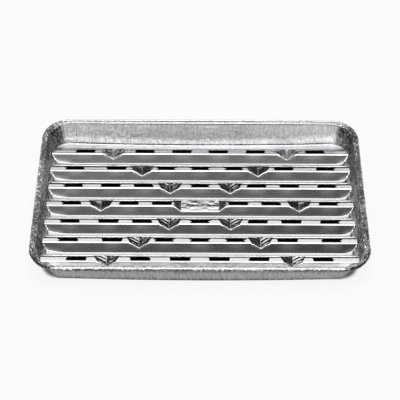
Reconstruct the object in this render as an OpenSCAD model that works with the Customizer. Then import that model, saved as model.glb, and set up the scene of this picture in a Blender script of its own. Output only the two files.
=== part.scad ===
// Grill tray pressed from one sheet of aluminium foil: a shallow basin with drafted
// walls and a rolled rim, whose floor is folded into seven ridges. The ridge tops carry
// rows of drip slots, and pressed notches cross the ridges in a diamond pattern.
// Millimetres. The ridges run along X, the front is at -Y, and z = 0 is the table.

/* [Tray] */
// Overall length, over the rolled rim
tray_length = 345; // [320:1:420]
// Overall width, over the rolled rim
tray_width = 230; // [224:1:300]
// Height of the rim above the table
tray_height = 26; // [18:0.5:40]
// Thickness of the foil
sheet_t = 0.1; // [0.08:0.01:0.3]
// How far each wall leans out between its foot and the rim
wall_lean = 6; // [2:0.5:10]
// Outer corner radius in plan, over the rim
corner_r = 30; // [22:0.5:45]
// Bend radius at the foot of the walls
foot_r = 1.8; // [1:0.1:4]
// Radius of the ramps that carry the groove floors up into the end walls
ramp_r = 8; // [4:0.5:8]

/* [Rim] */
// Width of the flange, from the wall to the middle of the roll
flange_w = 3.5; // [2:0.1:6]
// Diameter of the rolled edge
roll_d = 3; // [2:0.1:5]
// Bend radius between the wall and the flange
rim_bend_r = 1; // [0.5:0.1:2]
// Angle that the rolled edge turns through
roll_turn = 270; // [200:5:290]

/* [Ridges] */
// Distance from one ridge to the next
ridge_pitch = 27.5; // [25:0.1:28.5]
// Height of the ridges above the table
ridge_height = 7; // [5:0.1:9]
// Width of the ridge tops
ridge_top = 8.2; // [7.5:0.1:10]
// How far each ridge side runs out between its top and its foot
ridge_run = 6.6; // [4:0.1:7]
// Bend radius along the ridge tops
ridge_edge_r = 2; // [0.4:0.1:2.4]
// Bend radius along the ridge feet
ridge_foot_r = 0.6; // [0.4:0.1:2]

/* [Slots] */
// Length of a slot along its back edge
slot_back = 22.4; // [16:0.1:24]
// Length of a slot along its front edge
slot_front = 20; // [14:0.1:22]
// Width of a slot
slot_w = 5.6; // [3:0.1:6]
// Distance from the back of a ridge top to its slots
slot_margin = 1.2; // [0.5:0.1:2]
// Slot places from the middle, first and seventh ridge
slots_outer = [20, 60.4, 126]; // [0:0.1:140]
// Slot places from the middle, second and sixth ridge
slots_second = [0, 36.8, 90.6, 136]; // [0:0.1:140]
// Slot places from the middle, third and fifth ridge
slots_third = [0, 60.4, 95.6, 136]; // [0:0.1:140]
// Slot places from the middle, middle ridge
slots_middle = [40.4, 75.4, 136]; // [0:0.1:140]

/* [Notches] */
// Width of a notch across the ridge top
notch_w = 23; // [16:0.5:26]
// Depth of a notch below the ridge top
notch_depth = 3.9; // [2:0.1:4.5]
// Notch place from the middle, on the first, second, third and middle ridge
notch_x = [95, 62.7, 32.2, 105]; // [30:0.1:110]
// Length of the flat plate in the middle ridge
plate_l = 40; // [30:0.5:44]
// Run of the slope at each end of the plate
plate_slope = 8.4; // [5:0.1:9]
// Depth of the plate below the ridge top
plate_depth = 3.9; // [2:0.1:5.5]

/* [Pleats] */
// Pleats gathered into each corner
pleat_count = 11; // [5:1:15]
// Thickness of a pleat, two layers pressed together
pleat_t = 0.5; // [0.3:0.05:0.8]
// How far a pleat stands proud of the wall at the rim
pleat_rise = 0.6; // [0.3:0.05:1]

/* [Hidden] */

foil = [0.78, 0.79, 0.8];
ridge_steps = 4;
bend_steps = 6;
clear = 2;

lean = atan(wall_lean / tray_height);
corner_x = tray_length / 2 - corner_r;
corner_y = tray_width / 2 - corner_r;
flange_z = tray_height - roll_d / 2 + sheet_t / 2;
flange_start_r = corner_r - roll_d / 2 - flange_w;
wall_foot_r = flange_start_r - rim_bend_r / cos(lean) - wall_at(flange_z - rim_bend_r);
end_foot_x = corner_x + wall_foot_r;
side_foot_y = corner_y + wall_foot_r;

ridge_side = atan(ridge_run / (ridge_height - sheet_t));

function mirrored(places) = concat([for (p = places) if (p > 0) -p], places);
function row_slots(row) = mirrored([slots_middle, slots_third, slots_second, slots_outer][abs(row)]);
function row_notches(row) = mirrored([notch_x[[3, 2, 1, 0][abs(row)]]]);

// Points of an arc, with its centre, radius, first and last angle, and number of steps
function arc(c, r, a, b, steps) = [for (i = [0:steps])
    let (angle = a + (b - a) * i / steps) c + r * [cos(angle), sin(angle)]];

// Reach of the wall's inner face at a height above the table, from its foot
function wall_at(z) = (z - sheet_t) * tan(lean);

// Half section of the space inside the walls, out from a centre line. The wall's foot
// stands at reach, and grow moves the faces outwards, so that the space grown by the
// thickness of the foil is what the outside of the foil encloses.
module basin_section(reach, grow, top) {
    foot_c = [reach + wall_at(sheet_t + foot_r) - foot_r / cos(lean), sheet_t + foot_r];
    bend_c = [reach + flange_start_r - wall_foot_r, flange_z - rim_bend_r];
    polygon(concat([[0, sheet_t - grow]],
                   arc(foot_c, foot_r + grow, -90, -lean, bend_steps),
                   arc(bend_c, rim_bend_r - grow, 180 - lean, 90, bend_steps),
                   [[bend_c[0], top], [0, top]]));
}

// Space inside the walls: a long block, a cross block and four turned corners
module basin(grow, top) {
    module along(length, reach) {
        rotate([90, 0, 0]) translate([0, 0, -length / 2]) linear_extrude(length) {
            basin_section(reach, grow, top);
            mirror([1, 0]) basin_section(reach, grow, top);
        }
    }
    along(2 * corner_y, end_foot_x);
    rotate([0, 0, 90]) along(2 * corner_x, side_foot_y);
    for (sx = [0, 1], sy = [0, 1]) mirror([sx, 0, 0]) mirror([0, sy, 0])
        translate([corner_x, corner_y, 0])
            rotate_extrude(angle = 90, $fn = 144) basin_section(wall_foot_r, grow, top);
}

// Section of the flange and the rolled edge, out from the corner centre line. The foil
// meets the roll at half its height and turns up over it.
module rim_section() {
    roll_r = roll_d / 2;
    roll_c = [corner_r - roll_r, tray_height - roll_r];
    translate([flange_start_r, flange_z - sheet_t]) square([flange_w - roll_r + sheet_t / 2, sheet_t]);
    translate(roll_c) difference() {
        circle(roll_r, $fn = 96);
        circle(roll_r - sheet_t, $fn = 96);
        rotate(180) polygon(concat([[0, 0]],
            [for (i = [0:4]) 2 * roll_r * [cos((360 - roll_turn) * i / 4), sin((360 - roll_turn) * i / 4)]]));
    }
}

// Rim carried round the tray, along the four sides and the four corners
module rim() {
    module side(length, offset_y) {
        translate([-length / 2, offset_y, 0]) rotate([90, 0, 90]) linear_extrude(length) rim_section();
    }
    for (turn = [0, 180]) rotate([0, 0, turn]) {
        side(2 * corner_x, corner_y);
        rotate([0, 0, 90]) side(2 * corner_y, corner_x);
    }
    for (sx = [0, 1], sy = [0, 1]) mirror([sx, 0, 0]) mirror([0, sy, 0])
        translate([corner_x, corner_y, 0]) rotate_extrude(angle = 90, $fn = 144) rim_section();
}

// Right half of the ridge section, from the top down to the table. Drop moves the faces
// down into the ridge, to draw the underside of the foil.
function ridge_half(drop) =
    let (edge_back = ridge_edge_r * tan((90 - ridge_side) / 2),
         foot_out = ridge_foot_r * tan((90 - ridge_side) / 2),
         edge_c = [ridge_top / 2 - edge_back, ridge_height - ridge_edge_r],
         foot_c = [ridge_top / 2 + ridge_run + foot_out, sheet_t + ridge_foot_r])
    concat(arc(edge_c, ridge_edge_r - drop, 90, ridge_side, ridge_steps),
           arc(foot_c, ridge_foot_r + drop, 180 + ridge_side, 265, ridge_steps),
           [[foot_c[0] + clear, -clear]]);

module ridge_section(drop) {
    half = ridge_half(drop);
    left = [for (i = [len(half) - 1:-1:0]) [-half[i][0], half[i][1]]];
    polygon(concat(left, half));
}

// Free space of a notch or of the plate's recess: a trapezoid with a floor length, and
// slopes that reach the ridge top. Drop draws the underside of the foil.
module crossing(floor_l, run, depth, drop) {
    slope = atan(depth / run);
    low = drop / cos(slope);
    half = floor_l / 2;
    side = half + run * (depth + clear) / depth;
    floor_z = ridge_height - depth;
    flat = floor_l > 0 ? [[-half - drop * tan(slope / 2), floor_z - drop],
                          [half + drop * tan(slope / 2), floor_z - drop]]
                       : [[0, floor_z - low]];
    rotate([90, 0, 0]) translate([0, 0, -ridge_pitch / 2]) linear_extrude(ridge_pitch)
        polygon(concat([[-side, ridge_height + clear - low]], flat,
                       [[side, ridge_height + clear - low],
                        [side, ridge_height + 2 * clear], [-side, ridge_height + 2 * clear]]));
}

// Solid under one ridge, notched, with its faces moved down into it by drop
module ridge(row, drop) {
    difference() {
        translate([-tray_length / 2, 0, 0]) rotate([90, 0, 90]) linear_extrude(tray_length)
            ridge_section(drop);
        for (x = row_notches(row)) translate([x, 0, 0]) crossing(0, notch_w / 2, notch_depth, drop);
        if (row == 0) crossing(plate_l, plate_slope, plate_depth, drop);
    }
}

// Solid under the ramp at the end of the grooves, where the floor turns up into the wall.
// It runs from the first ridge to the last.
module ramp(drop) {
    c = [end_foot_x + wall_at(sheet_t + ramp_r) - ramp_r / cos(lean), sheet_t + ramp_r];
    bend = arc(c, ramp_r + drop, -88, -lean - 2, bend_steps);
    rotate([90, 0, 0]) translate([0, 0, -3 * ridge_pitch]) linear_extrude(6 * ridge_pitch)
        polygon(concat([[bend[0][0] - clear, -clear]], bend,
                       [bend[bend_steps] + clear / 4 * [sin(lean + 2), cos(lean + 2)],
                        [tray_length / 2, ramp_r / 2], [tray_length / 2, -clear]]));
}

// What the foil is pressed over: the ridges, and the ramps at both ends
module former(drop) {
    for (row = [-3:3]) translate([0, row * ridge_pitch, 0]) ridge(row, drop);
    ramp(drop);
    mirror([1, 0, 0]) ramp(drop);
}

// Slots of one ridge, wider along the back edge than along the front one
module slots(row) {
    back = ridge_top / 2 - slot_margin;
    for (x = row_slots(row)) translate([x, row * ridge_pitch, ridge_height / 2])
        linear_extrude(ridge_height)
            polygon([[-slot_back / 2, back], [slot_back / 2, back],
                     [slot_front / 2, back - slot_w], [-slot_front / 2, back - slot_w]]);
}

// Pleats of one corner: slim fins that grow out of the wall from its foot to the rim
module pleats() {
    step = 90 / pleat_count;
    low = ramp_r;
    base = wall_foot_r + wall_at(low) + sheet_t / 2;
    top = flange_z - rim_bend_r;
    head = wall_foot_r + wall_at(top) + sheet_t / 2;
    for (i = [0:pleat_count - 1]) rotate([0, 0, step * (i + 0.5)])
        rotate([90, 0, 0]) translate([0, 0, -pleat_t / 2]) linear_extrude(pleat_t)
            polygon([[base, low], [head + pleat_rise, top], [head - pleat_rise, top]]);
}

module tray() {
    color(foil) {
        difference() {
            union() {
                basin(sheet_t, flange_z);
                rim();
            }
            difference() {
                basin(0, tray_height + clear);
                former(0);
            }
            former(sheet_t);
            for (row = [-3:3]) slots(row);
        }
        for (sx = [0, 1], sy = [0, 1]) mirror([sx, 0, 0]) mirror([0, sy, 0])
            translate([corner_x, corner_y, 0]) pleats();
    }
}

tray();
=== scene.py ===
import math

import bpy
import numpy as np
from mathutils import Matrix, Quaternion, Vector


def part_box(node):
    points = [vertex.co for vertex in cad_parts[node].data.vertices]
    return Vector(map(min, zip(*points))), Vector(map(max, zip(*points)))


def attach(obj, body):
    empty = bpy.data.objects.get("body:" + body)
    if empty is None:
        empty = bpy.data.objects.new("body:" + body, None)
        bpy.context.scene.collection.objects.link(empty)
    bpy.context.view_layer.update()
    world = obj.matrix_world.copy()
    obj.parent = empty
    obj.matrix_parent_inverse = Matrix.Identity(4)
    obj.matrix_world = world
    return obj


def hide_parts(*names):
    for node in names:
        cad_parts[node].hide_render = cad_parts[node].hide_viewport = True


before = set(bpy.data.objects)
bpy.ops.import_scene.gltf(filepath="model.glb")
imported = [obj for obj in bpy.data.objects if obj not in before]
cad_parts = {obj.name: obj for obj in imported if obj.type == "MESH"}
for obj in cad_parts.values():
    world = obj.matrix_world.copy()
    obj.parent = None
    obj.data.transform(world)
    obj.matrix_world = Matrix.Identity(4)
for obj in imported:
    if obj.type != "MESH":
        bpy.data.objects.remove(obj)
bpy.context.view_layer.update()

# Camera: a long lens in front of the tray, looking down at it at the angle of a product
# picture. It leans by a quarter of a degree, so the rows run a little lower at the right.
elevation = math.radians(43.34)
camera_lean = math.radians(0.235)
distance = 1.609
aim = Vector((0.0, 0.0125, 0.0))
focal_px = 1507.0
image_px = 400.0
sensor_width = 36.0
farthest = 20.0

camera = bpy.data.objects.new("camera", bpy.data.cameras.new("camera"))
bpy.context.scene.collection.objects.link(camera)
camera.data.sensor_width = sensor_width
camera.data.lens = sensor_width * focal_px / image_px
camera.data.clip_end = farthest
to_camera = Vector((0.0, -math.cos(elevation), math.sin(elevation)))
camera.location = aim + distance * to_camera
camera.rotation_mode = "QUATERNION"
level_view = (-to_camera).to_track_quat("-Z", "Y")
camera.rotation_quaternion = level_view @ Quaternion((0, 0, 1), camera_lean)
bpy.context.scene.camera = camera


# Foil tray: one sheet of aluminium foil, a tenth of a millimetre thick, pressed between
# two dies. The floor is folded into seven ridges with drip slots and pressed notches, the
# walls lean out to a rolled rim, and the corners and ends are left pleated and crumpled.

# Sheet, walls and rim, in millimetres as all sizes of the tray
low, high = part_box("tray")
length, width, height = (1000 * (high[k] - low[k]) for k in range(3))
foil_t = 0.1
corner_radius = 30.0
wall_run = 6.0
lean = math.atan(wall_run / height)
flange = 3.5
flange_dip = 1.5
rim_bend = 1.0
roll_radius = 1.5
roll_turn = math.radians(270)

# Ridges, the tight bend along the long walls and the ramps at the ends of the grooves
pitch = 27.5
last_ridge = 3
ridge_height = 7.0
ridge_half = 4.1
ridge_run = 8.2
steep_front = 0.76
edge_radius = 2.0
foot_radius = 0.25
fall_start, fall_end = 1.2, 6.0
fall_radius = 9.0
back_round = 0.3
side_radius = 1.8
ramp_run = 13.5
ramp_rise = 8.3
ramp_fade = (80.0, 95.0)
tail_run = 28.0
tail_rise = 2.2
tail_right = 0.7
tail_round = 1.3
tail_fade = (80.0, 92.0)
end_round = 0.9
end_start = 0.4
least_round = 0.01

# Slots, notches and the plate; their places are listed by the ridge's number, counted
# from the middle ridge, and pairs of sizes are at the front and at the back
slot_half = (10.0, 11.2)
slot_edges = (-2.7, 2.9)
slot_places = {3: (20.0, 60.4, 126.0), 2: (0.0, 36.8, 90.6, 136.0),
               1: (0.0, 60.4, 95.6, 136.0), 0: (40.4, 75.4, 136.0)}
slot_drop = 0.15
drop_inside = 1.2
drop_foot = (-8.5, -5.0)
crease_half = 0.9
crease_depth = 0.06
notch_places = {3: 95.0, 2: 62.7, 1: 32.2, 0: 105.0}
notch_half = (9.8, 12.8)
notch_floor = 3.3
notch_round = 0.15
plate_half = 20.0
plate_slope = 8.4

# Grid lines: how many there are, and how near they lie to the edges that they follow
floor_columns = 62
corner_columns = 8
ramp_columns = 16
outer_rows = 10
floor_shares = (0.33, 0.67)
back_start = 5.0
lip_gap = (0.25, 0.15)
mouth_gap = (0.3, 0.2)
valley_gap = 0.15
side_gap = 0.2
plate_gap = 0.3
line_slack = 0.01
least_shrink = 0.1
shrink_climb = (3.5, 6.5)

# What follows from the sizes
corner_x = length / 2 - corner_radius
corner_y = width / 2 - corner_radius
flange_start = corner_radius - roll_radius - flange
wall_top = height - flange_dip - rim_bend
wall_foot = flange_start - rim_bend / math.cos(lean) - (wall_top - foil_t) * math.tan(lean)
end_x = corner_x + wall_foot
side_y = corner_y + wall_foot
ridge_slope = math.atan((ridge_height - foil_t) / ridge_run)
ridge_foot = ridge_half + ridge_run
top_end = ridge_half - edge_radius * math.tan(ridge_slope / 2)
edge_end = top_end + edge_radius * math.sin(ridge_slope)
foot_end = ridge_foot + foot_radius * math.tan(ridge_slope / 2)
foot_start = foot_end - foot_radius * math.sin(ridge_slope)
notch_lip = ridge_half + (ridge_height - notch_floor) / math.tan(ridge_slope)


def mix(a, b, t):
    """The value t of the way from a to b."""
    return a + (b - a) * t


def ease(a, b, t):
    """0 at a and 1 at b, with a smooth step between them, where a may be above b."""
    s = np.clip((t - a) / (b - a), 0, 1)
    return s * s * (3 - 2 * s)


def soft_max(a, b, r):
    """The larger of a and b, with the crease between them rounded over a height of r."""
    gap = np.clip(0.5 + 0.5 * (a - b) / r, 0, 1)
    return mix(b, a, gap) + r * gap * (1 - gap)


def soft_min(a, b, r):
    """The smaller of a and b, with the crease between them rounded over a height of r."""
    return -soft_max(-a, -b, r)


def creases(points, size, seed, waves=9):
    """Height of hand-creased foil, from -1 to 1: triangle waves that cross in random
    directions, each bent by a slow sine, are added and divided by their number's root."""
    rng = np.random.default_rng(seed)
    total = np.zeros(points.shape[:-1])
    for _ in range(waves):
        direction = rng.normal(size=3)
        direction /= np.linalg.norm(direction)
        bend = rng.normal(size=3) / (3 * size)
        phase = points @ direction / size * rng.uniform(0.6, 1.5) + rng.uniform(0, 9)
        phase = phase + 0.5 * np.sin(points @ bend + rng.uniform(0, 9))
        total += 4 * np.abs(phase - np.floor(phase) - 0.5) - 1
    return total / math.sqrt(waves)


def ridge_section(y):
    """Height of the foil across one ridge: a flat top, a round edge, a straight side and a
    round foot, each drawn where the distance from the ridge's middle reaches it. The top
    falls off in a parabola before the edge at the back."""
    away = np.abs(y)
    side = foil_t + (ridge_foot - away) * math.tan(ridge_slope)
    edge = ridge_height - edge_radius + np.sqrt(
        np.clip(edge_radius ** 2 - np.clip(away - top_end, 0, None) ** 2, 0, None))
    fall = ridge_height - np.clip(y - fall_start, 0, None) ** 2 / (2 * fall_radius)
    edge = np.where(y > 0, soft_min(fall, side, back_round), edge)
    foot = foil_t + foot_radius - np.sqrt(
        np.clip(foot_radius ** 2 - np.clip(foot_end - away, 0, None) ** 2, 0, None))
    side_start = np.where(y > 0, fall_end, edge_end)
    return np.where(away < side_start, edge, np.where(away > foot_start, foot, side))


def outline_depth(x, y):
    """Distance inside the foot of the walls, a rectangle with round corners."""
    past_x = np.abs(x) - corner_x
    past_y = np.abs(y) - corner_y
    outside = np.hypot(np.clip(past_x, 0, None), np.clip(past_y, 0, None))
    return wall_foot - outside - np.minimum(np.maximum(past_x, past_y), 0)


def foot_bend(y):
    """Length and height of the bend between the floor and the wall: long across the ends
    of the grooves, and tight round the corners and along the sides. The last two are how
    far the bend starts inside the wall's foot, and how far outside it ends."""
    share = ease(*ramp_fade, np.abs(y))
    run = mix(ramp_run, side_radius, share)
    rise = mix(ramp_rise, side_radius, share)
    end = run / np.hypot(1, rise / run * math.tan(lean))
    top = rise * (1 - np.sqrt(1 - (end / run) ** 2))
    beyond = top * math.tan(lean)
    return run, rise, end - beyond, beyond


def ramp(x, y):
    """Height of the bend where the floor turns up into the wall: a quarter of an ellipse,
    up to the point where it is as steep as the leaning wall, with a long low parabola
    before it at the ends of the grooves, shorter at the right."""
    run, rise, inside, beyond = foot_bend(y)
    out = inside - outline_depth(x, y)
    reach = np.clip(out, 0, inside + beyond)
    bend = rise * (1 - np.sqrt(1 - (reach / run) ** 2))
    sweep = np.where(x > 0, tail_right, 1.0)
    tail = tail_rise * np.clip(1 + (out - ramp_run) / (tail_run * sweep), 0, 1) ** 2
    tail = tail * sweep * (1 - ease(*tail_fade, np.abs(y)))
    return foil_t + soft_max(bend, tail, least_round + tail_round * ease(0, 1, tail))


def slot_sag(x, row, across):
    """How far the strip in front of each slot is pulled down: a parabola along the slot,
    eased out at the slot's edge and down the ridge's side."""
    sag = np.zeros_like(x)
    for key, places in slot_places.items():
        for place in places:
            span = np.clip(1 - ((np.abs(x) - place) / slot_half[1]) ** 2, 0, 1)
            sag = np.where(np.abs(row) == key, np.maximum(sag, span), sag)
    front = ease(slot_edges[0] + drop_inside, -ridge_half, across) * ease(*drop_foot, across)
    return slot_drop * sag * front


def notch_place(row):
    """Distance of a ridge's notches from the tray's middle."""
    return np.choose(np.abs(row).astype(int), [notch_places[k] for k in range(last_ridge + 1)])


def notch_spread(across):
    """Half width of a notch where it leaves the ridge top, wider towards the back."""
    return mix(notch_half[0], notch_half[1], ease(-ridge_half, ridge_half, across))


def notch_height(x, row, across):
    """Height of the V of the notches, and of the flat plate in the middle ridge with its
    two slopes. It goes on above the ridge top, where nothing is cut."""
    share = np.abs(np.abs(x) - notch_place(row)) / notch_spread(across)
    plate_share = np.clip((np.abs(x) - plate_half) / plate_slope, 0, None)
    share = np.where(row == 0, np.minimum(share, plate_share), share)
    return mix(notch_floor, ridge_height, share)


def notch_reach(x, row, side):
    """Distance from a ridge's middle to the place where its notches come out of one side,
    or to the ridge's edge where it isn't notched."""
    lowest = np.minimum(notch_height(x, row, side * ridge_half + 0 * x), ridge_height)
    return ridge_half + (ridge_height - lowest) / math.tan(ridge_slope)


def pressed_height(x, y):
    """Height of the pressed floor: each ridge's section, cut by its notches or its plate,
    and carried up into the walls by the ramp."""
    row = np.clip(np.round(y / pitch), -last_ridge, last_ridge)
    across = y - row * pitch
    steep = (row == -last_ridge) & (across < -ridge_half)
    top = ridge_section(np.where(steep, mix(-ridge_half, across, 1 / steep_front), across))
    top = top - slot_sag(x, row, across)
    from_crease = np.abs(across - slot_edges[0] - crease_half)
    top = top - crease_depth * np.clip(1 - from_crease / crease_half, 0, 1)
    top = soft_min(top, notch_height(x, row, across), notch_round)
    climb = ramp(x, y)
    rounding = least_round + end_round * ease(0, end_start, climb - foil_t)
    return soft_max(top, climb, rounding)


def ridge_lines():
    """Places of the grid lines across one ridge, from its front foot to its back foot."""
    edge = top_end + edge_radius * np.sin(np.linspace(0, ridge_slope, 4))
    mouth = [notch_lip - lip_gap[0], notch_lip + lip_gap[1]]
    lower = mix(mouth[1], foot_start, np.array([0.35, 0.7]))
    foot = [foot_start, foot_end]
    front = np.concatenate([edge, [mix(edge[-1], notch_lip, 0.5)], mouth, lower, foot])
    tops = [slot_edges[0], slot_edges[0] + crease_half, np.mean(slot_edges),
            slot_edges[1] - crease_half]
    fall = mix(slot_edges[1], back_start, np.linspace(0, 1, 4))
    return np.concatenate([-front[::-1], tops, fall, mouth, foot])


def follow_notches(x, row, across):
    """Distance across the ridge of one grid line, moved so that the lines next to a notch's
    mouth follow its outline on the ridge's side, and those at the foot follow the ramp."""
    side = math.copysign(1, across)
    start = back_start if side > 0 else edge_end
    away = abs(across)
    inner_lip = notch_lip - lip_gap[0]
    outer_lip = notch_lip + lip_gap[1]
    reach = notch_reach(x, row + 0 * x, side)
    near = np.maximum(reach - mouth_gap[0], start + mouth_gap[0])
    far = np.maximum(reach + mouth_gap[1], start + 2 * mouth_gap[0])
    moved = away + 0 * x
    if away > start + line_slack:
        if away < notch_lip:
            moved = mix(start, near, (away - start) / (inner_lip - start))
        elif away < ridge_foot:
            moved = mix(far, ridge_foot, (away - outer_lip) / (ridge_foot - outer_lip))
        climb = ramp(x, row * pitch + across + 0 * x)
        foot_here = ridge_half + (ridge_height - climb) / math.tan(ridge_slope)
        shrink = np.clip((foot_here - start) / (ridge_foot - start), least_shrink, 1)
        shrink = mix(shrink, 1, ease(*shrink_climb, climb))
        moved = start + (moved - start) * shrink
    if row == -last_ridge and side < 0 and away > ridge_half:
        moved = mix(ridge_half, moved, steep_front)
    return side * moved


def row_lines():
    """Places of the grid lines from the front wall to the back wall, how far each of the
    last ones lies on its way from the outer ridge's foot to the wall, and that foot."""
    ridge = ridge_lines()
    floor = ridge[-1] + (pitch - 2 * ridge[-1]) * np.array(floor_shares)
    inner = np.concatenate([k * pitch + np.concatenate([ridge, floor])
                            for k in range(-last_ridge, last_ridge)])
    inner = np.concatenate([inner, last_ridge * pitch + ridge])
    steps = np.linspace(0, 1, outer_rows + 1)[1:]
    steps = 0.5 * steps + 0.5 * np.sin(steps * math.pi / 2)
    groove = side_y + foot_bend(side_y)[3] - inner[-1]
    lines = np.concatenate([inner[0] - groove * steps[::-1], inner, inner[-1] + groove * steps])
    share = np.concatenate([steps[::-1], 0 * inner, steps])
    return lines, share, inner[-1]


def column_lines():
    """Places of the grid lines along the ridges: even over the floor, closer over the
    corners, and by equal angles over the ramps."""
    run, rise, inside, beyond = foot_bend(0)
    start = end_x - inside
    bend = np.linspace(0, math.asin((inside + beyond) / run), ramp_columns + 1)
    climb = start + run * np.sin(bend)
    corner = np.linspace(corner_x, start, corner_columns + 1)[:-1]
    middle = np.linspace(0, corner_x, floor_columns + 1)[:-1]
    right = np.concatenate([middle, corner, climb])
    return np.concatenate([-right[:0:-1], right])


rows, way, last_foot = row_lines()
columns = column_lines()


def nearest_column(x):
    """Number of the even grid column that lies nearest to x."""
    return int(np.argmin(np.abs(columns - x)))


def pin_columns(ridge, across):
    """Columns of one grid line that are pinned to an edge on a ridge, with their places:
    the ends of the slots, the valley and both sides of each notch, and the plate's edges.
    The second result is the first and last column of each slot."""
    pins, slots = {}, []
    slot_share = (across - slot_edges[0]) / (slot_edges[1] - slot_edges[0])
    half = mix(slot_half[0], slot_half[1], np.clip(slot_share, 0, 1))
    for place in sorted({side * p for p in slot_places[abs(ridge)] for side in (-1, 1)}):
        ends = [nearest_column(place - half), nearest_column(place + half)]
        pins[ends[0]], pins[ends[1]] = place - half, place + half
        slots.append(ends)
    for valley in (-notch_places[abs(ridge)], notch_places[abs(ridge)]):
        for step in (-1, 0, 1):
            pins[nearest_column(valley) + step] = valley + valley_gap * step
        for turn in (-1, 1):
            last = nearest_column(valley + turn * np.mean(notch_half))
            pins[last] = valley + turn * (notch_spread(across) + side_gap)
            pins[last - turn] = valley + turn * (notch_spread(across) - side_gap)
    if ridge == 0:
        for side in (-1, 1):
            edge = nearest_column(side * plate_half)
            pins[edge] = side * (plate_half - plate_gap)
            pins[edge + side] = side * (plate_half + plate_gap)
    return pins, slots


def stretch_ends(x, share):
    """Places along the ridges, with what lies beyond the corners' middles stretched."""
    return np.where(np.abs(x) > corner_x,
                    np.sign(x) * (corner_x + (np.abs(x) - corner_x) * share), x)


# Flat grid of the floor: one line after the other, with its pinned columns
count_x, count_y = len(columns), len(rows)
index = np.arange(count_x)
from_end = np.minimum(index, count_x - 1 - index)
grid_x = np.zeros((count_y, count_x))
grid_y = np.repeat(rows[:, None], count_x, axis=1)
slot_columns = []
for j, y in enumerate(rows):
    ridge = int(np.clip(round(y / pitch), -last_ridge, last_ridge))
    line_across = y - ridge * pitch
    pins, slots = {}, []
    if way[j] == 0 and abs(line_across) <= ridge_foot + foot_radius:
        pins, slots = pin_columns(ridge, line_across)
    for k in (0, ramp_columns, count_x - 1 - ramp_columns, count_x - 1):
        pins.setdefault(k, columns[k])
    line = np.interp(index, sorted(pins), [pins[k] for k in sorted(pins)])
    grid_x[j] = np.where((from_end <= ramp_columns) | (way[j] > 0), columns, line)
    if way[j] == 0:
        grid_y[j] = ridge * pitch + follow_notches(grid_x[j], ridge, line_across)
    over_slots = slot_edges[0] - line_slack <= line_across <= slot_edges[1] + line_slack
    slot_columns.append(slots if over_slots else [])
open_cells = np.zeros((count_y - 1, count_x - 1), bool)
for j, (slots, next_slots) in enumerate(zip(slot_columns, slot_columns[1:])):
    if next_slots:
        for first, last in slots:
            open_cells[j, first:last] = True

# Round corners of the grid: each line ends on an arc. Its angle grows with the line's way
# to the long wall, up to half a right angle, and the last line takes the other half
column_side = np.sign(columns)
fade = np.clip(1 - from_end / (corner_columns + ramp_columns), 0, 1)
arc_radius = wall_foot + foot_bend(rows)[3]
last_radius = arc_radius[0]
first_angle = math.asin((last_foot - corner_y) / last_radius)
angles = mix(first_angle, math.pi / 4, way)
past_corner = np.clip(np.abs(rows) - corner_y, 0, last_foot - corner_y)
end_reach = np.where(way > 0, arc_radius * np.cos(angles),
                     np.sqrt(arc_radius ** 2 - past_corner ** 2))
grid_x = stretch_ends(grid_x, end_reach[:, None] / (columns[-1] - corner_x))

last_angles = mix(math.pi / 2, math.pi / 4, fade)
last_y = corner_y + last_radius * np.sin(last_angles)
last_x = corner_x + last_radius * np.cos(last_angles)
last_x = np.where(fade > 0, column_side * last_x, columns)
foot_x = stretch_ends(columns, last_radius * math.cos(first_angle) / (columns[-1] - corner_x))
outer = way > 0
share = way[outer][:, None]
straight_x = mix(foot_x, last_x, share)
straight_y = mix(last_foot, last_y, share)
arc_x = corner_x + end_reach[outer][:, None]
arc_y = corner_y + (arc_radius[outer] * np.sin(angles[outer]))[:, None]
grid_x[outer] = straight_x + column_side * fade * (arc_x - np.abs(straight_x[:, :1]))
grid_y[outer] = np.sign(rows[outer])[:, None] * (straight_y + fade * (arc_y - straight_y[:, :1]))
grid_z = pressed_height(grid_x, grid_y)

# Wall, flange and roll: a profile carried round the outline of the floor
loop = np.concatenate([
    np.arange(count_x),
    count_x * np.arange(1, count_y) + count_x - 1,
    count_x * (count_y - 1) + np.arange(count_x - 2, -1, -1),
    count_x * np.arange(count_y - 2, 0, -1)])
loop_x, loop_y, loop_z = (g.ravel()[loop] for g in (grid_x, grid_y, grid_z))
core_x = np.clip(loop_x, -corner_x, corner_x)
core_y = np.clip(loop_y, -corner_y, corner_y)
normal_x, normal_y = np.stack([loop_x - core_x, loop_y - core_y]) / np.hypot(
    loop_x - core_x, loop_y - core_y)

wall_steps = np.concatenate([[0.012], np.linspace(0, 1, 8)[1:] ** 1.25])
bends = np.linspace(math.pi - lean, math.pi / 2, 4)[1:]
rolls = math.pi - np.linspace(0, roll_turn, 10)
rim_r = np.concatenate([flange_start + rim_bend * np.cos(bends),
                        [flange_start + flange * 0.4],
                        corner_radius - roll_radius + roll_radius * np.cos(rolls)])
rim_z = np.concatenate([wall_top + rim_bend * np.sin(bends),
                        [height - flange_dip],
                        height - roll_radius + roll_radius * np.sin(rolls)])
wall_end = wall_top - rim_bend * math.sin(lean)
wall_z = mix(loop_z[None, :], wall_end, wall_steps[:, None])
wall_r = wall_foot + (wall_z - foil_t) * math.tan(lean)
band_r = np.concatenate([wall_r, np.repeat(rim_r[:, None], len(loop), axis=1)])
band_z = np.concatenate([wall_z, np.repeat(rim_z[:, None], len(loop), axis=1)])
band = np.stack([core_x + normal_x * band_r, core_y + normal_y * band_r, band_z], axis=2)
floor_points = np.stack([grid_x, grid_y, grid_z], axis=2)

# How far the foil is pushed out on even walls, and more at the ends and corners, and the
# shares of the wall's height between which this sets in
even_push = 0.07
end_push = 0.55
corner_push = 0.4
ramp_push = 0.62
push_start = 2.0
push_fade = (0.05, 0.5)
rim_share = 0.4
pleat_depth = 0.35
pleat_turns = 44

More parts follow.
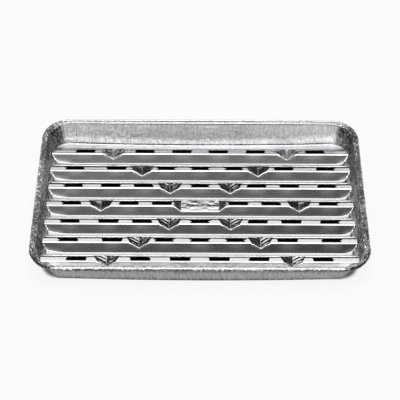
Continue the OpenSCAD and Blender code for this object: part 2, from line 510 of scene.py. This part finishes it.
# Sizes of the creases, and the height of those on the rim, the plate and the floor
broad_crease = 13.0
fine_crease = 5.0
rim_crease = 9.0
plate_crease = 4.6
floor_crease = 30.0
rim_waves = 0.12
plate_folds = 0.42
floor_waves = 0.05
waves_end = (5.0, 8.0)

# How far the roll hangs down, the front corners are drawn in and the long walls are bowed
corner_droop = 1.5
front_droop = 0.9
pulled_in = 4.0
pull_fade = (8.0, 19.0)
bow_depth = 3.4
bow_half = 150.0
bow_fade = (92.0, 103.0)
shape_top = 22.0


def crumpled(points):
    """Broad creases with finer ones over them, from about -1 to 1."""
    return 0.75 * creases(points, broad_crease, 5) + 0.35 * creases(points, fine_crease, 6)


# Crumpled ends and pleated corners, left by the dies as the rim was drawn in
ends = ease(0.3, 0.95, np.abs(normal_x))
corner = 4 * np.clip(np.abs(normal_x * normal_y), 0, 0.25)
rumple = even_push + end_push * ends + corner_push * corner
climb = np.clip((band_z - push_start) / (height - push_start), 0, 1)
corner_angle = np.arctan2(loop_y - core_y, loop_x - core_x)
pleats = np.sin(pleat_turns * corner_angle + 1.5 * np.sin(9 * corner_angle))
push = rumple * ease(*push_fade, climb) * crumpled(band)
push = push + pleat_depth * corner * ease(0.1, 0.9, climb) * pleats
on_rim = (np.arange(len(band)) >= len(wall_steps))[:, None]
push = push * np.where(on_rim, rim_share, 1.0)
band[:, :, 0] += normal_x * push
band[:, :, 1] += normal_y * push
band[:, :, 2] += rim_waves * (band_z > wall_top) * rumple * creases(band, rim_crease, 8)
droop = np.maximum(corner_droop * corner, front_droop * ease(0.3, 0.9, -normal_y))
droop = droop * ease(roll_radius, 2 * roll_radius, height - band_z)
band[:, :, 2] -= droop * (band_r > corner_radius - roll_radius)

# Crumpled ramps, folds in the plate of the middle ridge, and faint waves in the floor
ramp_z = ramp(grid_x, grid_y)
over_ramps = np.abs(grid_x) > corner_x
climb = np.clip((ramp_z - push_start) / (height - push_start), 0, 1)
floor_points[:, :, 0] += (np.sign(grid_x) * over_ramps * ramp_push * ease(*push_fade, climb)
                          * crumpled(floor_points))
plate_part = ease(plate_half + 6, plate_half - 2, np.abs(grid_x)) * ease(6, 4, np.abs(grid_y))
floor_points[:, :, 2] += plate_folds * plate_part * creases(
    floor_points * (0.55, 1.0, 1.0), plate_crease, 11)
level = 1 - ease(*waves_end, ramp_z)
floor_points[:, :, 2] += floor_waves * level * (2 + creases(floor_points, floor_crease, 12))

# The feet of the front corners are drawn in, where the sheet was pushed together, and the
# long walls are bowed, so that their feet stand a little nearer to the front in the middle
points = np.concatenate([floor_points.reshape(-1, 3), band.reshape(-1, 3)])
past_x, past_y = (np.clip(np.abs(points[:, k]) - edge, 0.001, None)
                  for k, edge in ((0, corner_x), (1, corner_y)))
from_core = np.hypot(past_x, past_y)
pull = pulled_in * (2 * past_x * past_y / from_core ** 2) * ease(*pull_fade, from_core)
pull = pull * np.clip(1 - points[:, 2] / shape_top, 0, 1) * (points[:, 1] < 0)
points[:, 0] -= np.sign(points[:, 0]) * pull * past_x / from_core
points[:, 1] -= np.sign(points[:, 1]) * pull * past_y / from_core
bow = np.clip(1 - (points[:, 0] / bow_half) ** 2, 0, 1) * ease(*bow_fade, np.abs(points[:, 1]))
points[:, 1] -= bow_depth * bow * np.clip(1 - points[:, 2] / shape_top, 0, 1)

# Mesh: the floor's cells but for the slots, and the rings of the wall and the rim
cell = np.arange(count_x * (count_y - 1)).reshape(count_y - 1, count_x)[:, :-1]
cell = cell[~open_cells]
floor_quads = np.stack([cell, cell + 1, cell + count_x + 1, cell + count_x], axis=1)
rings = np.vstack([loop, count_x * count_y + np.arange(band_z.size).reshape(band_z.shape)])
after = np.roll(rings, -1, axis=1)
wall_quads = np.stack([rings[1:], after[1:], after[:-1], rings[:-1]], axis=2).reshape(-1, 4)
quads = np.concatenate([floor_quads, wall_quads])

foil_mesh = bpy.data.meshes.new("foil_tray")
foil_mesh.vertices.add(len(points))
foil_mesh.vertices.foreach_set("co", (points / 1000).ravel())
foil_mesh.loops.add(quads.size)
foil_mesh.loops.foreach_set("vertex_index", quads.ravel().astype(np.int32))
foil_mesh.polygons.add(len(quads))
foil_mesh.polygons.foreach_set("loop_start", np.arange(0, quads.size, 4, dtype=np.int32))
foil_mesh.polygons.foreach_set("use_smooth", np.ones(len(quads), bool))
foil_mesh.update()
foil_mesh.validate()


def along_rim(wall, bend, flange_middle, roll):
    """One value for each ring of the wall and the rim, from the wall's foot to the roll's
    end, as a column."""
    parts = (wall + 0 * wall_steps, bend + 0 * bends, [flange_middle], roll + 0 * rolls)
    return np.concatenate(parts)[:, None]


def over_sheet(floor, ring):
    """A mark for every point of the sheet, from its values on the floor and the rings."""
    return np.concatenate([(floor + 0 * grid_x).ravel(), (ring + 0 * band_z).ravel()])


# Where the foil is crumpled, which gives bumps and a colour darkened as painted shade of the
# creases: the end walls, the rim, the ramps, the plate and the dented notches of the last ridge;
# and, darker still, painted shade on the roll's underside and outer side and a painted shade line
# along the back wall's foot
turned = 2 * np.abs(normal_x * normal_y)
rim_ends = ease(0.6, 0.95, np.abs(normal_x))
wall_ends = np.where(normal_y > 0, ease(0.40, 0.55, np.abs(normal_x)),
                     ease(0.6, 1.0, np.abs(normal_x)))
ring_crumple_shade = np.where(on_rim, 0.1 + 0.5 * rim_ends + 0.15 * turned, 0.04 + 0.6 * wall_ends)
roll_count = np.arange(len(rolls))
# Painted shade: the lower outer side of the roll is darkened all round, and its top and outer
# side at the corners and ends, a painted dark outline
under_roll_shade = along_rim(0, 0, 0, 0.9 * ease(4, 6, roll_count))
outer_roll_shade = along_rim(0, 0, 0, ease(2.2, 4, roll_count)) * np.clip(
    0.06 + 0.8 * turned + 0.4 * rim_ends, 0, 1)
ring_crumple_shade = np.maximum(ring_crumple_shade, np.maximum(under_roll_shade, outer_roll_shade))

# The ramps' crumple: bumps, and painted shade of the creases in the colour
ramp_crumple_shade = 0.62 * ease(2.0, 5.5, ramp_z) * over_ramps * ease(1.0, 0.2, grid_z - ramp_z)
# The notches of the last ridge: crumple bumps, and painted shade in their recesses
back_row = last_ridge + 0 * grid_x
back_across = grid_y - last_ridge * pitch
dented_shade = 0.8 * ease(3.6, 5.2, notch_height(grid_x, back_row, back_across))
dented_shade = dented_shade * ease(0, 0.5, notch_reach(grid_x, back_row, -1) - np.abs(back_across))
dented_shade = dented_shade * (np.abs(np.abs(grid_x) - notch_places[last_ridge]) < notch_half[1] - 1)
# A painted shade line along the back wall's foot, where the floor meets the wall, with crumple
# bumps
foot_shade_line = np.zeros_like(grid_x)
foot_shade_line[-1] = 0.9 * ease(150, 130, np.abs(grid_x[-1]))
floor_crumple_shade = np.maximum.reduce([0.1 * plate_part, ramp_crumple_shade, dented_shade, foot_shade_line])

# Where the foil is streaked upright, with pleat bumps, a rougher gloss and darker streaks in its
# colour that are painted shade and lower the walls' tone: the walls, and a little in the outer
# grooves
outer_groove = 0.8 * ease(92, 95, np.abs(grid_y))

# Painted shade lines in the colour: outside, at the foot of the walls, a painted shadow under the
# roll at the top of the walls and on the bend and flange, and darker lower walls round the
# corners; inside, on the flange and the roll round the corners
foot_shade_rings = np.concatenate([[1.0, 0.5], 0 * wall_steps[2:-3], [0.7, 1.0, 1.0]])
outer_shade_lines = np.maximum(along_rim(foot_shade_rings, 1, 1, 0),
                         along_rim(np.clip(1.4 - 1.6 * wall_steps, 0, 1), 0, 0, 0) * turned)
roll_shade_rings = np.concatenate([[0.2, 0.0, 0.0, 0.4], 1 + 0 * rolls[4:]])
rim_shade_lines = along_rim(0, 0, 0.7, roll_shade_rings) * turned

# Where the sides of the notches are streaked, stronger on the right arm and towards the
# front, with the distance behind the notch's mouth that the streaks are counted from
row = np.clip(np.round(grid_y / pitch), -last_ridge, last_ridge)
across = grid_y - row * pitch
height_here = notch_height(grid_x, row, across)
mouth_reach = notch_reach(grid_x, row, -1)
mouth_reach = np.where(row == -last_ridge, mix(ridge_half, mouth_reach, steep_front), mouth_reach)
behind_mouth = across + mouth_reach
right_arm = grid_x > np.sign(grid_x) * notch_place(row)
streaked = np.clip((ridge_height - height_here) / 2, 0, 1) * ease(
    0.2, 1.6, height_here - notch_floor)
streaked = streaked * mix(1, 0.3, (row + last_ridge) / 6) * (row != 0) * (row != 2)
streaked = streaked * np.where(right_arm, 1.6, 0.9)
streaked = streaked * ease(0, 0.5, behind_mouth) * ease(
    0.5, 0, across - notch_reach(grid_x, row, 1))

marks = {"crumple_and_shade": over_sheet(floor_crumple_shade, ring_crumple_shade),
         "upright": over_sheet(outer_groove, ~on_rim),
         "outer_shade_lines": over_sheet(0, outer_shade_lines),
         "rim_shade_lines": over_sheet(0, rim_shade_lines),
         "notched": over_sheet(streaked, 0),
         "behind_mouth": over_sheet(behind_mouth, 0)}
for name, values in marks.items():
    mark = foil_mesh.attributes.new(name, "FLOAT", "POINT")
    mark.data.foreach_set("value", values.astype(np.float32))

foil_tray = bpy.data.objects.new("foil_tray", foil_mesh)
bpy.context.scene.collection.objects.link(foil_tray)
thickness = foil_tray.modifiers.new("thickness", "SOLIDIFY")
thickness.thickness = foil_t / 1000
thickness.offset = -1
thickness.material_offset = 1
even_normals = foil_tray.modifiers.new("even_normals", "WEIGHTED_NORMAL")
even_normals.mode = "FACE_AREA"
even_normals.weight = 60


class Socket:
    """An output socket whose arithmetic adds Math nodes, and a way to add any node."""

    def __init__(self, tree, socket):
        self.tree = tree
        self.socket = socket

    @classmethod
    def of(cls, tree, kind, settings, *values, output=0, **named):
        """Adds a node of one kind with its settings, joins or sets its inputs in order or
        by name, and returns one of its outputs."""
        node = tree.nodes.new(kind)
        for name, value in settings.items():
            setattr(node, name, value)
        for key, value in [*enumerate(values), *named.items()]:
            if isinstance(value, Socket):
                tree.links.new(value.socket, node.inputs[key])
            else:
                node.inputs[key].default_value = value
        return cls(tree, node.outputs[output])

    def apply(self, operation, *values):
        """The result of a Math node that takes this socket first."""
        return Socket.of(self.tree, "ShaderNodeMath", {"operation": operation}, self, *values)

    def fade(self, start, end, low, high):
        """A smooth step from low, where the value is start, to high, where it is end."""
        return Socket.of(self.tree, "ShaderNodeMapRange", {"interpolation_type": "SMOOTHSTEP"},
                         self, start, end, low, high)

    def spread(self, start, end):
        """The value as a share of the way from start to end, cut off at 0 and 1."""
        return Socket.of(self.tree, "ShaderNodeMapRange", {}, self, start, end)

    def __add__(self, other):
        return self.apply("ADD", other)

    __radd__ = __add__

    def __sub__(self, other):
        return self.apply("SUBTRACT", other)

    def __rsub__(self, other):
        return Socket.of(self.tree, "ShaderNodeMath", {"operation": "SUBTRACT"}, other, self)

    def __mul__(self, other):
        return self.apply("MULTIPLY", other)

    __rmul__ = __mul__


def mix_colours(factor, first, second):
    """A mix of two colours: the first where the factor is 0, the second where it is 1."""
    tint = Socket.of(factor.tree, "ShaderNodeMix", {"data_type": "RGBA", "clamp_factor": True},
                     factor, output=2)
    tint.socket.node.inputs[6].default_value = (*first, 1.0)
    tint.socket.node.inputs[7].default_value = (*second, 1.0)
    return tint


def foil_finish(name, bright, lines):
    """Rolled aluminium: fully metallic, a soft gloss with a fine rolling grain, and creases that
    grow where the sheet was crumpled. Its colour is darkened by painted shade where crumpled, in
    streaks on the walls and along the painted shade lines in the attribute that lines names. Foil
    has a bright side and a matt side."""
    material = bpy.data.materials.new(name)
    material.use_nodes = True
    tree = material.node_tree
    shader = tree.nodes["Principled BSDF"]
    place = Socket.of(tree, "ShaderNodeTexCoord", {}, output="Object")
    crumple_and_shade, upright, shade, notched, behind = (
        Socket.of(tree, "ShaderNodeAttribute", {"attribute_name": mark}, output="Fac")
        for mark in ("crumple_and_shade", "upright", lines, "notched", "behind_mouth"))

    # Relief in shares of 2.2 mm: rolling ripple, broad unevenness, hand creases, fine
    # creases, upright pleats, and V-shaped streaks in the notches
    rolled = Socket.of(tree, "ShaderNodeMapping", {}, place, Scale=(1.0, 0.12, 0.12))
    ripple = Socket.of(tree, "ShaderNodeTexNoise", {}, rolled, Scale=420.0, Detail=3.0)
    cloud = Socket.of(tree, "ShaderNodeTexNoise", {}, place, Scale=60.0, Detail=4.0)
    folds = Socket.of(tree, "ShaderNodeTexVoronoi", {"feature": "F1"}, place, Scale=190.0)
    grit = Socket.of(tree, "ShaderNodeTexVoronoi", {"feature": "F1"}, place, Scale=650.0)
    tall = Socket.of(tree, "ShaderNodeMapping", {}, place, Scale=(1.0, 1.0, 0.2))
    pleat = Socket.of(tree, "ShaderNodeTexNoise", {}, tall, Scale=620.0, Detail=3.0)
    chevrons = (behind * 1.3 + cloud * 4.0 + 1.3).apply("SINE")
    relief = ripple * 0.016 + cloud * 0.035 + (folds * 0.8 + grit * 0.8) * crumple_and_shade
    relief = relief + pleat * upright * 0.3 + chevrons * notched * 0.06
    bump = Socket.of(tree, "ShaderNodeBump", {}, Height=relief, Distance=0.0022, Strength=1.0,
                     output="Normal")
    tree.links.new(bump.socket, shader.inputs["Normal"])

    # Painted shade in the colour: darker specks and patches where it is crumpled, shade of the
    # creases; darker streaks on the walls, shade of the pleats; and the painted shade lines at
    # the walls' foot and top and on the roll
    specks = Socket.of(tree, "ShaderNodeTexNoise", {}, place, Scale=330.0, Detail=3.0)
    specks = specks.spread(0.36, 0.60)
    patches = Socket.of(tree, "ShaderNodeTexNoise", {}, place, Scale=38.0, Detail=2.0)
    patches = patches.spread(0.38, 0.62)
    streaks = pleat.spread(0.35, 0.65)
    painted_shade = (specks * 0.9 + 0.2 + patches * 0.5) * crumple_and_shade
    painted_shade = painted_shade + (streaks * 0.33 + patches * 0.08) * upright
    painted_shade = painted_shade + (specks * 0.55 + 0.3) * shade
    tint = mix_colours(painted_shade, (bright, bright + 0.005, bright + 0.01), (0.06, 0.06, 0.06))
    tree.links.new(tint.socket, shader.inputs["Base Color"])
    shader.inputs["Metallic"].default_value = 1.0
    tree.links.new((0.12 + cloud * 0.08 + upright * 0.2).socket, shader.inputs["Roughness"])
    return material


foil_mesh.materials.append(foil_finish("bright_foil", 0.86, "rim_shade_lines"))
# The matt side, the tray's outside and underside, gets half the bright side's colour: partly its
# greyer look, partly painted shade that darkens the outer walls
foil_mesh.materials.append(foil_finish("matt_shaded_foil", 0.43, "outer_shade_lines"))
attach(foil_tray, "root")
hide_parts("tray")


# Floor: a plain pale sheet that the tray stands on. Below the tray its colour is painted nearly
# black, a painted shadow where no light gets in, and it glows evenly from a little way outside
# it, as a lit studio sheet does.
floor_half = 4.0
core_half = (0.1425, 0.085)
dark_reach = 0.0125
glow_start, glow_end, glow_share = 0.0150, 0.0205, 0.9
floor_mesh = bpy.data.meshes.new("floor")
square = ((-1, -1), (1, -1), (1, 1), (-1, 1))
floor_mesh.from_pydata([(x * floor_half, y * floor_half, 0) for x, y in square], [],
                       [(0, 1, 2, 3)])
floor = bpy.data.objects.new("floor", floor_mesh)
bpy.context.scene.collection.objects.link(floor)

pale = bpy.data.materials.new("pale_floor")
pale.use_nodes = True
sheet = pale.node_tree
sheet_shader = sheet.nodes["Principled BSDF"]
floor_place = Socket.of(sheet, "ShaderNodeTexCoord", {}, output="Object")
beyond_x, beyond_y = (
    (Socket.of(sheet, "ShaderNodeSeparateXYZ", {}, floor_place, output=axis).apply("ABSOLUTE")
     - half).apply("MAXIMUM", 0.0) for axis, half in zip("XY", core_half))
beyond = (beyond_x * beyond_x + beyond_y * beyond_y).apply("SQRT")
# Painted shadow: the colour is nearly black below the tray, inside its foot, and pale beyond
sheet_tint = mix_colours(beyond.apply("GREATER_THAN", dark_reach), (0.02, 0.02, 0.02),
                         (0.93, 0.93, 0.93))
sheet.links.new(sheet_tint.socket, sheet_shader.inputs["Base Color"])
sheet_shader.inputs["Roughness"].default_value = 0.9
rays = Socket.of(sheet, "ShaderNodeLightPath", {}, output="Is Camera Ray")
rays = rays + Socket.of(sheet, "ShaderNodeLightPath", {}, output="Is Glossy Ray")
rays = rays + Socket.of(sheet, "ShaderNodeLightPath", {}, output="Is Transmission Ray")
glow = Socket.of(sheet, "ShaderNodeEmission", {}, Strength=1.0, output="Emission")
lit = Socket.of(sheet, "ShaderNodeMixShader", {},
                beyond.fade(glow_start, glow_end, 0.0, glow_share) * rays,
                Socket(sheet, sheet_shader.outputs["BSDF"]), glow, output="Shader")
sheet.links.new(lit.socket, sheet.nodes["Material Output"].inputs["Surface"])
floor_mesh.materials.append(pale)


# Light: two wide soft panels, one above the tray and one behind it, in a dim room. The
# foil mirrors the room, which is paler low down, at both sides, overhead and, on the
# camera's side, a little at the left.
def add_panel(name, place, size, radiance):
    """A rectangular lamp that faces the tray, with its power worked out from how bright
    its face looks: pi times radiance times area."""
    lamp = bpy.data.lights.new(name, "AREA")
    lamp.shape = "RECTANGLE"
    lamp.size, lamp.size_y = size
    lamp.energy = math.pi * radiance * size[0] * size[1]
    panel = bpy.data.objects.new(name, lamp)
    panel.location = place
    panel.rotation_mode = "QUATERNION"
    panel.rotation_quaternion = (-Vector(place)).to_track_quat("-Z", "Y")
    bpy.context.scene.collection.objects.link(panel)


add_panel("back_panel", (0.0, 1.25, 1.92), (1.9, 1.4), 0.94)
add_panel("top_panel", (0.0, -0.06, 2.0), (2.0, 1.12), 3.0)

world = bpy.data.worlds.new("room")
bpy.context.scene.world = world
world.use_nodes = True
room = world.node_tree
toward = Socket.of(room, "ShaderNodeTexCoord", {}, output="Generated")
toward_x, toward_y, toward_z = (
    Socket.of(room, "ShaderNodeSeparateXYZ", {}, toward, output=axis) for axis in "XYZ")
even_light = 0.012
low_light = toward_z.fade(0.10, 0.16, 0.75, 0.0)
side_light = toward_x.apply("ABSOLUTE").fade(0.45, 0.70, 0.0, 0.35)
overhead_light = toward_z.fade(0.78, 0.99, 0.0, 0.15)
front_light = (toward_x.fade(-0.12, 0.08, 0.055, 0.0) + toward_z.fade(0.81, 0.92, 0.0, 0.26)
               + toward_z.fade(0.36, 0.52, 0.14, 0.0))
camera_side = toward_y.fade(-0.3, 0.5, 1.0, 0.0)
strength = low_light + even_light + camera_side * front_light + overhead_light + side_light
background = room.nodes["Background"]
background.inputs["Color"].default_value = (1.0, 1.0, 1.0, 1.0)
room.links.new(strength.socket, background.inputs["Strength"])

bpy.context.scene.view_settings.view_transform = "Standard"
